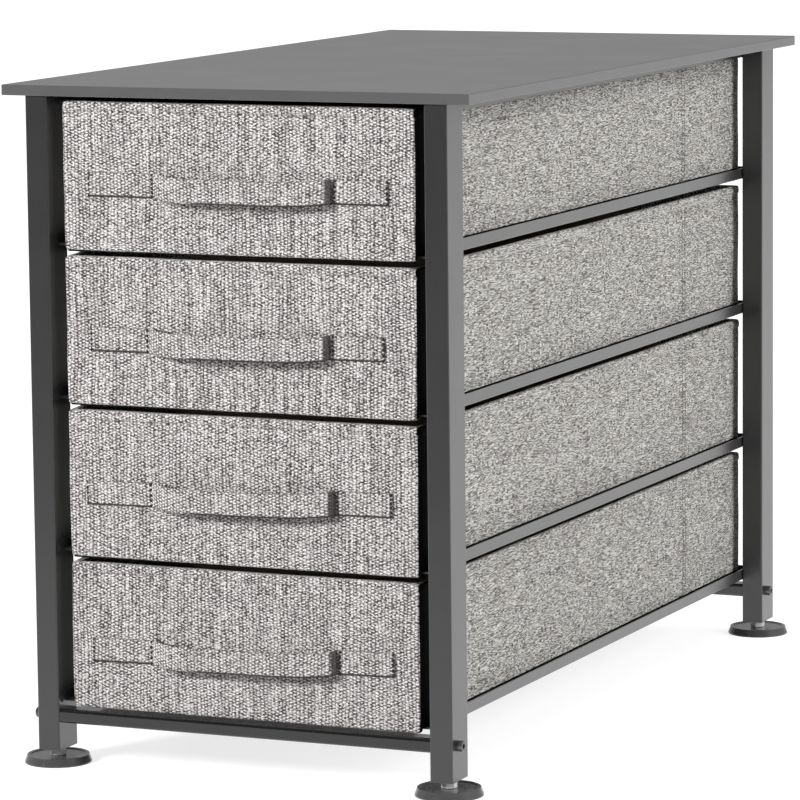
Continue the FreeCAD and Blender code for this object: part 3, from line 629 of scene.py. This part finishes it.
def makeFront(number, shape, box, lowZ, tall):
    # a box with all its edges rounded, its face pushed in and out a little
    radius = shape["frontRound"]
    deep = shape["frontThick"]
    half = box[1]
    hem = tall - shape["hemDrop"]
    wide, high = shape["frontSteps"]
    soft = [radius * share for share in (0.0, 0.35, 0.7, 1.0)]
    xs = [back - half for back in soft]
    xs += [-half + radius + (2 * half - 2 * radius) * step / wide for step in range(1, wide)]
    xs += [half - back for back in reversed(soft)]
    zs = soft + [0.006 + (hem - 0.009) * step / high for step in range(high + 1)]
    zs += [hem - 0.001, hem, hem + 0.001, hem + 0.0028]
    zs += [tall - back for back in reversed(soft)]
    ys = soft + [deep - radius, deep - radius * 0.6, deep]
    points, index = [], {}

    def vertex(i, j, k):
        # one point of the surface, pulled onto the rounded box
        if (i, j, k) in index:
            return index[i, j, k]
        spot = Vector((xs[i], ys[j], zs[k]))
        core = spot.copy()
        core.x = min(max(spot.x, radius - half), half - radius)
        core.y = min(max(spot.y, radius), deep - radius)
        core.z = min(max(spot.z, radius), tall - radius)
        way = spot - core
        if way.length > 1e-7:
            spot = core + way.normalized() * radius
        if spot.y < radius:
            spot.y -= frontPush(spot.x, zs[k], tall, shape, number)
        # edges wander, and the four corners are drawn in
        ends = min(spot.z, tall - spot.z)
        near = max(0.0, 1 - ends / 0.009) * max(0.0, 1 - (half - abs(spot.x)) / 0.009)
        spot.x -= math.copysign(0.0007 * near, spot.x)
        spot.z += (0.0004 if spot.z < tall / 2 else -0.0006) * near
        side = max(0.0, 1 - (half - abs(spot.x)) / 0.02)
        spot.x += 0.0007 * side * noise.noise(Vector((spot.x * 3, spot.z * 31, number * 5.9)))
        spot.z += 0.0004 * noise.noise(Vector((spot.x * 21, number * 2.3, spot.z * 4)))
        index[i, j, k] = len(points)
        points.append(Vector((spot.x, box[2] + spot.y, lowZ + spot.z)))
        return index[i, j, k]

    faces = []
    counts = [len(xs), len(ys), len(zs)]
    for axis in range(3):
        one, two = (axis + 1) % 3, (axis + 2) % 3
        for place in (0, counts[axis] - 1):
            for first in range(counts[one] - 1):
                for second in range(counts[two] - 1):
                    square = []
                    for across, up in ((0, 0), (1, 0), (1, 1), (0, 1)):
                        at = [place, place, place]
                        at[one], at[two] = first + across, second + up
                        square.append(vertex(*at))
                    faces.append(square if place else square[::-1])

    def cloth(polygon, vertex):
        spot = points[vertex]
        back = spot.y - box[2]
        across = spot.x + number * shape["shiftAcross"]
        if abs(polygon.normal.x) > 0.7:
            return math.copysign(back, spot.x) + across, spot.z
        if abs(polygon.normal.z) > 0.7:
            return across, spot.z + math.copysign(back, polygon.normal.z)
        return across, spot.z

    front = addPiece(f"front_{number}", points, faces, cloth, [frontFabric, paintedShadeBlack])
    # painted shade: the front's right side face, in the gap by the post, is black
    for polygon in front.data.polygons:
        polygon.material_index = 1 if polygon.normal.x > 0.75 else 0
    soften(front, 1)
    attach(front, f"drawer_{number}")
    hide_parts(f"drawer_{number}_cover")
    return front


def makeShadowLip(number, shape, box, lowZ):
    # painted shadow: a black strip along the lower edge of a drawer's front
    drop = shape["shadowLipDrop"]
    steps = shape["shadowLipSteps"]
    section = [(0.0012, 0.0007), (0.0014, -0.5 * drop), (0.0022, -drop), (0.0042, -drop)]
    section += [(0.005, -0.5 * drop), (0.0052, 0.0007)]
    points = []
    for step in range(steps + 1):
        x = (box[1] - 0.0026) * (2 * step / steps - 1)
        wave = 0.0002 * noise.noise(Vector((x * 30, number * 4.1, 0)))
        points += [Vector((x, box[2] + back, lowZ + rise + wave)) for back, rise in section]
    faces = tubeFaces(steps, len(section))
    shadowLip = addPiece(f"lip_{number}", points, faces, lambda polygon, vertex: points[vertex].xy, [paintedShadeBlack])
    work = bmesh.new()
    work.from_mesh(shadowLip.data)
    keepOutwards(work, shadowLip)
    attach(shadowLip, f"drawer_{number}")


# Strap pulls: one band each, sewn flat at both ends and free in the middle.

strapShape = {
    "wide": 0.0195,
    "thick": 0.0016,
    "raised": 0.0015,
    "droop": 0.0024,
    # painted shade on the loop's right flank
    "shades": [(0.0797, 0.0808, 0.8)],       # from X, to X, how dark
    "softEdge": (-0.08, -0.034),             # no dark lower edge here
    "shift": 0.41,                           # along the bolt of cloth, from drawer to drawer
    "half": 0.13,
    "knots": (-0.1295, -0.0804, -0.045, 0.045, 0.0845, 0.1295),
    # how each lies, in mm: shifts of left end, crease, fold and right end at the knots, then its two rises
    "lie": {
        1: (0, 8.0, 0.5, 0, 1.9, 1.3),
        2: (0, 1.8, -2.5, -4.5, 1.7, 3.3),
        3: (-5.9, 2.3, 0, 0.5, 1.2, 4.6),
        4: (-3.1, 0.5, 0.5, 1.0, -3.0, 1.9),
    },
    # centre line of the band, in mm: along X, and out from the cover
    "line": [(-129.5, 0.9), (-127, 0.9), (-118, 0.85), (-104, 0.9), (-92, 0.85), (-83, 0.8), (-80.4, 0.8),
             (-79, 1.4), (-76.5, 3.2), (-72.5, 5.6), (-66.5, 8.2), (-58, 10.4), (-47, 11.9), (-34, 12.9),
             (-20, 13.4), (0, 13.4), (17, 13.1), (34, 12.7), (50, 12.3), (65, 11.8), (73, 11.4),
             (77.8, 10.8), (79.8, 9.5), (80.3, 7.4), (80.1, 5.2), (79.9, 3.0), (80.5, 1.4), (82.8, 0.9),
             (92, 0.85), (104, 0.9), (118, 0.85), (127, 0.9), (129.5, 0.9)],
}


def strapPlace(x, number, shape):
    # where a point of the plain band goes in one drawer: its X and how far it is raised
    leftEnd, crease, fold, rightEnd, riseLeft, riseRight = [value / 1000 for value in shape["lie"][number]]
    knots = list(zip(shape["knots"], (leftEnd, crease, crease, fold, fold, rightEnd)))
    shift = rightEnd
    for (x0, shift0), (x1, shift1) in zip(knots, knots[1:]):
        if x <= x1:
            shift = shift0 + (shift1 - shift0) * max(0.0, x - x0) / (x1 - x0)
            break
    return x + shift, riseLeft + (riseRight - riseLeft) * (x + shape["half"]) / (2 * shape["half"])


def makeStrap(number, shape):
    low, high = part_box(f"drawer_{number}_pull")
    middle = (low.z + high.z) / 2 + shape["raised"]
    face = high.y
    half = shape["wide"] / 2
    thick = shape["thick"] / 2
    line = [Vector((strapPlace(x / 1000, number, shape)[0], out / 1000)) for x, out in shape["line"]]
    # round the band's section, from its lower edge up the outside and down the inside
    rim = [(-0.0006, 1), (0, 0.4), (0, -0.4), (-0.0006, -1)]
    outline = [(-half - back, -thick * share) for back, share in rim]
    outline += [(-half + 0.004, thick * 1.05), (-half + 0.0085, thick)]
    outline += [(half - 0.0085, thick), (half - 0.004, thick * 1.05)]
    outline += [(half + back, thick * share) for back, share in rim]
    outline += [(half - 0.0085, -thick), (-half + 0.0085, -thick)]
    points, cloth, shades, edges = [], [], [], []
    reach = 0.0
    for place, spot in enumerate(line):
        before = line[max(place - 1, 0)]
        after = line[min(place + 1, len(line) - 1)]
        if place:
            reach += (spot - before).length
        way = (after - before).normalized()
        outward = Vector((-way.y, way.x))
        plain = shape["line"][place][0] / 1000
        loose = min(1.0, max(0.0, (0.077 - abs(plain)) / 0.036))
        fall = shape["droop"] * loose * (2 - loose) - strapPlace(plain, number, shape)[1]
        fall += 0.0004 * noise.noise(Vector((spot.x * 30, number * 5.1, 0))) * loose
        end = 0.75 if place in (0, len(line) - 1) else 1.0
        shade = next((depth for first, last, depth in shape["shades"] if first <= plain <= last), 0.0)
        # the painted edge shade is faint over the loop's left shoulder
        edged = 0.1 if shape["softEdge"][0] < plain < shape["softEdge"][1] else 1.0
        for rise, out in outline:
            shades.append(shade)
            edges.append(edged)
            x = spot.x + outward.x * out * end
            y = face - (spot.y + outward.y * out * end)
            points.append(Vector((x, y, middle + rise * (0.985 if end < 1 else 1.0) - fall)))
            cloth.append((reach - shape["half"] + number * shape["shift"], rise))
    faces = tubeFaces(len(line) - 1, len(outline))
    strap = addPiece(f"strap_{number}", points, faces, lambda polygon, vertex: cloth[vertex], [strapFabric])
    strap.data.attributes.new("shade", "FLOAT", "POINT").data.foreach_set("value", shades)
    strap.data.attributes.new("edges", "FLOAT", "POINT").data.foreach_set("value", edges)
    soften(strap, 2)
    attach(strap, f"drawer_{number}")
    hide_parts(f"drawer_{number}_pull")
    return strap, reach, middle, face


# Stitches along the hems, the side seams and the ends of the straps, and dark rows of thread as painted
# shade by the straps' loops.

stitchShape = {
    "pitch": 0.0034,
    "length": 0.0026,
    "seed": 11,
    "thread": 0.00055,
    "seamThread": 0.001,
    "seamSpread": 0.0032,    # rows beside the side seams
    "hemThread": 0.0005,
    # across each strap: X, thickness of the row; the rows at the loop's crease and at its right fold are
    # painted shade
    "strapRows": [(-0.1282, 0.0015), (-0.0803, 0.0027), (0.0838, 0.0018), (0.1284, 0.0027)],
    "strapProud": 0.0023,
    "strapReach": 0.0085,
    # painted shadow: a short dark row above the loop's left end: X, out from the cover, above the band's
    # middle
    "shadowRow": [(-0.0695, 0.0084, 0.0098), (-0.066, 0.0097, 0.0094), (-0.06, 0.0113, 0.0088),
                (-0.053, 0.0127, 0.0084)],
    "shadowThread": 0.0016,
}


def makeStitchTree():
    # stitches end to end along every run of edges, each a small spindle of thread
    tree = bpy.data.node_groups.new("stitchRows", "GeometryNodeTree")
    tree.is_modifier = True
    face = tree.interface
    face.new_socket("Geometry", in_out="INPUT", socket_type="NodeSocketGeometry")
    for label, value in (("Pitch", 0.003), ("Length", 0.002)):
        face.new_socket(label, in_out="INPUT", socket_type="NodeSocketFloat").default_value = value
    face.new_socket("Seed", in_out="INPUT", socket_type="NodeSocketInt").default_value = 1
    face.new_socket("Finish", in_out="INPUT", socket_type="NodeSocketMaterial")
    face.new_socket("Geometry", in_out="OUTPUT", socket_type="NodeSocketGeometry")
    start = addNode(tree, "NodeGroupInput", -900, 0)
    end = addNode(tree, "NodeGroupOutput", 900, 0)
    curve = addNode(tree, "GeometryNodeMeshToCurve", -700, 100)
    even = addNode(tree, "GeometryNodeResampleCurve", -500, 100, mode="LENGTH")
    tangent = addNode(tree, "GeometryNodeInputTangent", -500, -120)
    turn = addNode(tree, "FunctionNodeAlignRotationToVector", -300, -120, axis="Z")
    spindle = addNode(tree, "GeometryNodeMeshUVSphere", -500, -300)
    setInputs(spindle, Segments=6, Rings=4, Radius=0.5)
    thick = addNode(tree, "GeometryNodeInputNamedAttribute", -500, -480, data_type="FLOAT")
    setInputs(thick, Name="thick")
    sizes = addNode(tree, "ShaderNodeCombineXYZ", -300, -420)
    spread = addNode(tree, "FunctionNodeRandomValue", -300, -620, data_type="FLOAT")
    setInputs(spread, Min=0.86, Max=1.1)
    uneven = addNode(tree, "ShaderNodeVectorMath", -100, -420, operation="SCALE")
    copies = addNode(tree, "GeometryNodeInstanceOnPoints", 100, 60)
    solid = addNode(tree, "GeometryNodeRealizeInstances", 320, 60)
    shade = addNode(tree, "GeometryNodeSetShadeSmooth", 500, 60)
    finish = addNode(tree, "GeometryNodeSetMaterial", 680, 60)
    wires = [
        (start, "Geometry", curve, "Mesh"), (curve, "Curve", even, "Curve"),
        (start, "Pitch", even, "Length"), (tangent, "Tangent", turn, "Vector"),
        (turn, "Rotation", copies, "Rotation"),
        (even, "Curve", copies, "Points"), (spindle, "Mesh", copies, "Instance"),
        (thick, "Attribute", sizes, 0), (thick, "Attribute", sizes, 1), (start, "Length", sizes, 2),
        (start, "Seed", spread, "Seed"), (spread, 1, uneven, "Scale"),
        (sizes, 0, uneven, 0), (uneven, 0, copies, "Scale"),
        (copies, "Instances", solid, "Geometry"), (solid, "Geometry", shade, "Geometry"),
        (shade, "Geometry", finish, "Geometry"), (start, "Finish", finish, "Material"),
        (finish, "Geometry", end, "Geometry"),
    ]
    for source, given, target, taken in wires:
        tree.links.new(source.outputs[given], target.inputs[taken])
    return tree


stitchTree = makeStitchTree()


def makeStitches(name, runs, body, shape, finish):
    # each run is its points and the thickness of its thread
    points, edges, thicks = [], [], []
    for run, thick in runs:
        first = len(points)
        points += run
        thicks += [thick] * len(run)
        edges += [(first + step, first + step + 1) for step in range(len(run) - 1)]
    path = bpy.data.meshes.new(f"{name}_path")
    path.from_pydata(points, edges, [])
    path.attributes.new("thick", "FLOAT", "POINT").data.foreach_set("value", thicks)
    stitches = bpy.data.objects.new(name, path)
    scene.collection.objects.link(stitches)
    rows = stitches.modifiers.new("rows", "NODES")
    rows.node_group = stitchTree
    values = {"Pitch": shape["pitch"], "Length": shape["length"], "Seed": shape["seed"], "Finish": finish}
    for item in stitchTree.interface.items_tree:
        if item.item_type == "SOCKET" and item.in_out == "INPUT" and item.name in values:
            rows[item.identifier] = values[item.name]
    bpy.context.view_layer.update()
    seen = stitches.evaluated_get(bpy.context.evaluated_depsgraph_get())
    finished = bpy.data.meshes.new_from_object(seen)
    stitches.modifiers.clear()
    stitches.data = finished
    bpy.data.meshes.remove(path)
    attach(stitches, body)


def hemRun(box, lowZ, tall, shape, number):
    # the hem seam's line round the sides and the rear of a cover, just proud of its groove
    rise = tall - shape["hemDrop"]
    run = []
    for x, y, way, part in perimeter(box, 0.0, 0.003, shape["cornerRound"], shape):
        if y > box[2] + shape["frontThick"] + 0.001:
            push = bulge(x, y, part, rise, tall, box, shape, number) + 0.0004
            run.append(Vector((x, y, lowZ + rise)) + way * push)
    return run


def frontHemRun(box, lowZ, tall, shape, number):
    # the same line across the front
    rise = tall - shape["hemDrop"]
    run = []
    for step in range(shape["hemSteps"] + 1):
        x = (box[1] - 0.0035) * (2 * step / shape["hemSteps"] - 1)
        run.append(Vector((x, box[2] - frontPush(x, rise, tall, shape, number) - 0.0003, lowZ + rise)))
    return run


def seamRun(box, lowZ, tall, shape, number, side, ahead):
    # one line of stitches up the side of a cover, beside its seam
    y = box[3] - shape["seamAhead"] + ahead
    x = box[1] if side > 0 else box[0]
    long = tall - shape["hang"] - shape["hemDrop"] - 0.005
    run = []
    for step in range(shape["seamSteps"] + 1):
        rise = shape["hang"] + 0.003 + step * long / shape["seamSteps"]
        push = bulge(x, y, "side", rise, tall, box, shape, number) + 0.0001
        run.append(Vector((x + side * push, y, lowZ + rise)))
    return run


for number in (1, 2, 3, 4):
    box, lowZ, tall = makeCover(number, coverShape)
    front = makeFront(number, coverShape, box, lowZ, tall)
    # the lowest front has no strip of painted shadow
    if number < 4:
        makeShadowLip(number, coverShape, box, lowZ)
    strap, reach, middle, face = makeStrap(number, strapShape)
    body = f"drawer_{number}"
    runs = [(hemRun(box, lowZ, tall, coverShape, number), stitchShape["thread"])]
    for side in (-1, 1):
        for ahead in (-stitchShape["seamSpread"], stitchShape["seamSpread"]):
            run = seamRun(box, lowZ, tall, coverShape, number, side, ahead)
            runs.append((run, stitchShape["seamThread"]))
    makeStitches(f"stitches_{number}", runs, body, stitchShape, thread)
    rows = [(frontHemRun(box, lowZ, tall, coverShape, number), stitchShape["hemThread"])]
    # dark rows across each strap, those at the crease and the fold being painted shade
    for x, thick in stitchShape["strapRows"]:
        x, raised = strapPlace(x, number, strapShape)
        y, half = face - stitchShape["strapProud"], stitchShape["strapReach"]
        rows.append(([Vector((x, y, middle + raised + rise)) for rise in (-half, half)], thick))
    # painted shadow along the loop's upper edge at its left end
    edge = []
    for x, out, rise in stitchShape["shadowRow"]:
        x, raised = strapPlace(x, number, strapShape)
        edge.append(Vector((x, face - out, middle + raised + rise)))
    rows.append((edge, stitchShape["shadowThread"]))
    makeStitches(f"front_stitches_{number}", rows, body, stitchShape, darkThreadAndShade)
    print("drawer", number, "dressed")


# Camera, floor and light.

cameraView = {
    "place": (1.558836, -3.602321, 0.795614),
    "yaw": 23.749,
    "pitch": 7.85,
    "roll": -0.603,
    "lens": 208.84,
}


def makeCamera(view):
    data = bpy.data.cameras.new("camera")
    data.lens = view["lens"]
    data.sensor_width = 36
    data.clip_end = 60
    camera = bpy.data.objects.new("camera", data)
    scene.collection.objects.link(camera)
    look = Euler((math.radians(90 - view["pitch"]), 0, math.radians(view["yaw"]))).to_matrix()
    look = look @ Matrix.Rotation(math.radians(view["roll"]), 3, "Z")
    camera.matrix_world = Matrix.Translation(view["place"]) @ look.to_4x4()
    scene.camera = camera


studio = {
    "floorRadius": 12.0,
    "nearGlow": 0.76,        # added to the floor where it is seen, near the dresser
    "farGlow": 1.0,          # and from farOff outwards
    "nearTo": 1.3,
    "farOff": 3.2,
    "floorColour": (0.5, 0.5, 0.5, 1),
    "brightTo": -0.85,       # the floor is mirrored bright from here to the rear
    "darkFrom": -2.1,        # and dark from here to the front
    "darkLevel": 0.25,
    "surround": 0.42,        # soft light from behind and from the sides
    "frontSurround": 0.15,
    "mirroredSky": 0.39,     # surroundings in reflections, behind and beside
    "mirroredFront": 0.06,
    "mirroredTurn": (-0.55, 0.0),    # from front to rear, -1 to 1, where these change
    "surroundTurn": (-0.6, 0.2),
    "lamps": [
        # name, place, size, power
        ("keyPanel", (-1.72, -3.8, 2.1), 1.0, 182),
        ("sidePanel", (3.4, -0.1, 1.6), 2.0, 100),
        ("topPanel", (0.4, 1.2, 3.2), 2.2, 30),
    ],
    "lampAim": (0, 0, 0.27),
}


def addRays(tree, fade):
    # glossy rays, rays that see a surface plainly, and glossy rays again as far as the fade lets them
    path = addNode(tree, "ShaderNodeLightPath", -700, 200)
    glossy = path.outputs["Is Glossy Ray"]
    seen = addMath(tree, -300, 100, "MAXIMUM", path.outputs["Is Camera Ray"],
                   path.outputs["Is Transmission Ray"])
    return glossy, seen, addMath(tree, -300, -100, "MULTIPLY", glossy, fade)


def makeFloor(look):
    mesh = bpy.data.meshes.new("floor")
    turns = [math.radians(turn) for turn in range(0, 360, 5)]
    radius = look["floorRadius"]
    ring = [(math.cos(turn) * radius, math.sin(turn) * radius, 0) for turn in turns]
    mesh.from_pydata(ring, [], [tuple(range(len(ring)))])
    floor = bpy.data.objects.new("floor", mesh)
    scene.collection.objects.link(floor)
    material, tree, shader = newMaterial("paleFloor")
    setInputs(shader, Roughness=0.9, Specular_IOR_Level=0.0)
    links = tree.links
    place = addNode(tree, "ShaderNodeTexCoord", -900, -200)
    split = addNode(tree, "ShaderNodeSeparateXYZ", -700, -200)
    links.new(place.outputs["Object"], split.inputs[0])
    fade = addFade(tree, -500, -200, split.outputs[1], look["darkFrom"], look["brightTo"],
                   look["darkLevel"], 1.0)
    glossy, seen, mirrored = addRays(tree, fade)
    span = addNode(tree, "ShaderNodeVectorMath", -700, 400, operation="LENGTH")
    links.new(place.outputs["Object"], span.inputs[0])
    glow = addFade(tree, -500, 400, span.outputs["Value"], look["nearTo"], look["farOff"],
                   look["nearGlow"], look["farGlow"])
    seen = addMath(tree, -200, 100, "MULTIPLY", seen, glow)
    links.new(addMath(tree, -60, 0, "ADD", seen, mirrored), shader.inputs["Emission Strength"])
    colour = addColourMix(tree, -120, -300, glossy, look["floorColour"], (0, 0, 0, 1))
    links.new(colour, shader.inputs["Base Color"])
    setInputs(shader, Emission_Color=(1, 1, 1, 1))
    mesh.materials.append(material)


def makeSurround(look):
    world = bpy.data.worlds.new("surround")
    scene.world = world
    world.use_nodes = True
    tree = world.node_tree
    tree.nodes.clear()
    links = tree.links
    place = addNode(tree, "ShaderNodeTexCoord", -900, -200)
    split = addNode(tree, "ShaderNodeSeparateXYZ", -700, -200)
    links.new(place.outputs["Generated"], split.inputs[0])
    # mirrored surroundings: pale behind and beside, dim in front
    fade = addFade(tree, -500, -200, split.outputs[1], *look["mirroredTurn"],
                   look["mirroredFront"], look["mirroredSky"])
    glossy, seen, mirrored = addRays(tree, fade)
    plain = addMath(tree, -120, 0, "ADD", seen, mirrored)
    shown = addMath(tree, -400, 300, "MAXIMUM", seen, glossy)
    hidden = addMath(tree, -300, 300, "SUBTRACT", 1.0, shown)
    level = addFade(tree, -500, 500, split.outputs[1], *look["surroundTurn"],
                    look["frontSurround"], look["surround"])
    soft = addMath(tree, -120, 300, "MULTIPLY", hidden, level)
    background = addNode(tree, "ShaderNodeBackground", 200, 0)
    links.new(addMath(tree, 40, 150, "ADD", plain, soft), background.inputs["Strength"])
    output = addNode(tree, "ShaderNodeOutputWorld", 400, 0)
    links.new(background.outputs["Background"], output.inputs["Surface"])
    setInputs(background, Color=(1, 1, 1, 1))


def makeLamps(look):
    for name, place, size, power in look["lamps"]:
        data = bpy.data.lights.new(name, "AREA")
        data.shape = "SQUARE"
        data.size = size
        data.energy = power
        lamp = bpy.data.objects.new(name, data)
        scene.collection.objects.link(lamp)
        aim = Vector(look["lampAim"]) - Vector(place)
        lamp.matrix_world = Matrix.Translation(place) @ aim.to_track_quat("-Z", "Y").to_matrix().to_4x4()
        lamp.visible_glossy = False


makeCamera(cameraView)
makeFloor(studio)
makeSurround(studio)
makeLamps(studio)
scene.view_settings.view_transform = "Standard"
print("studio set")
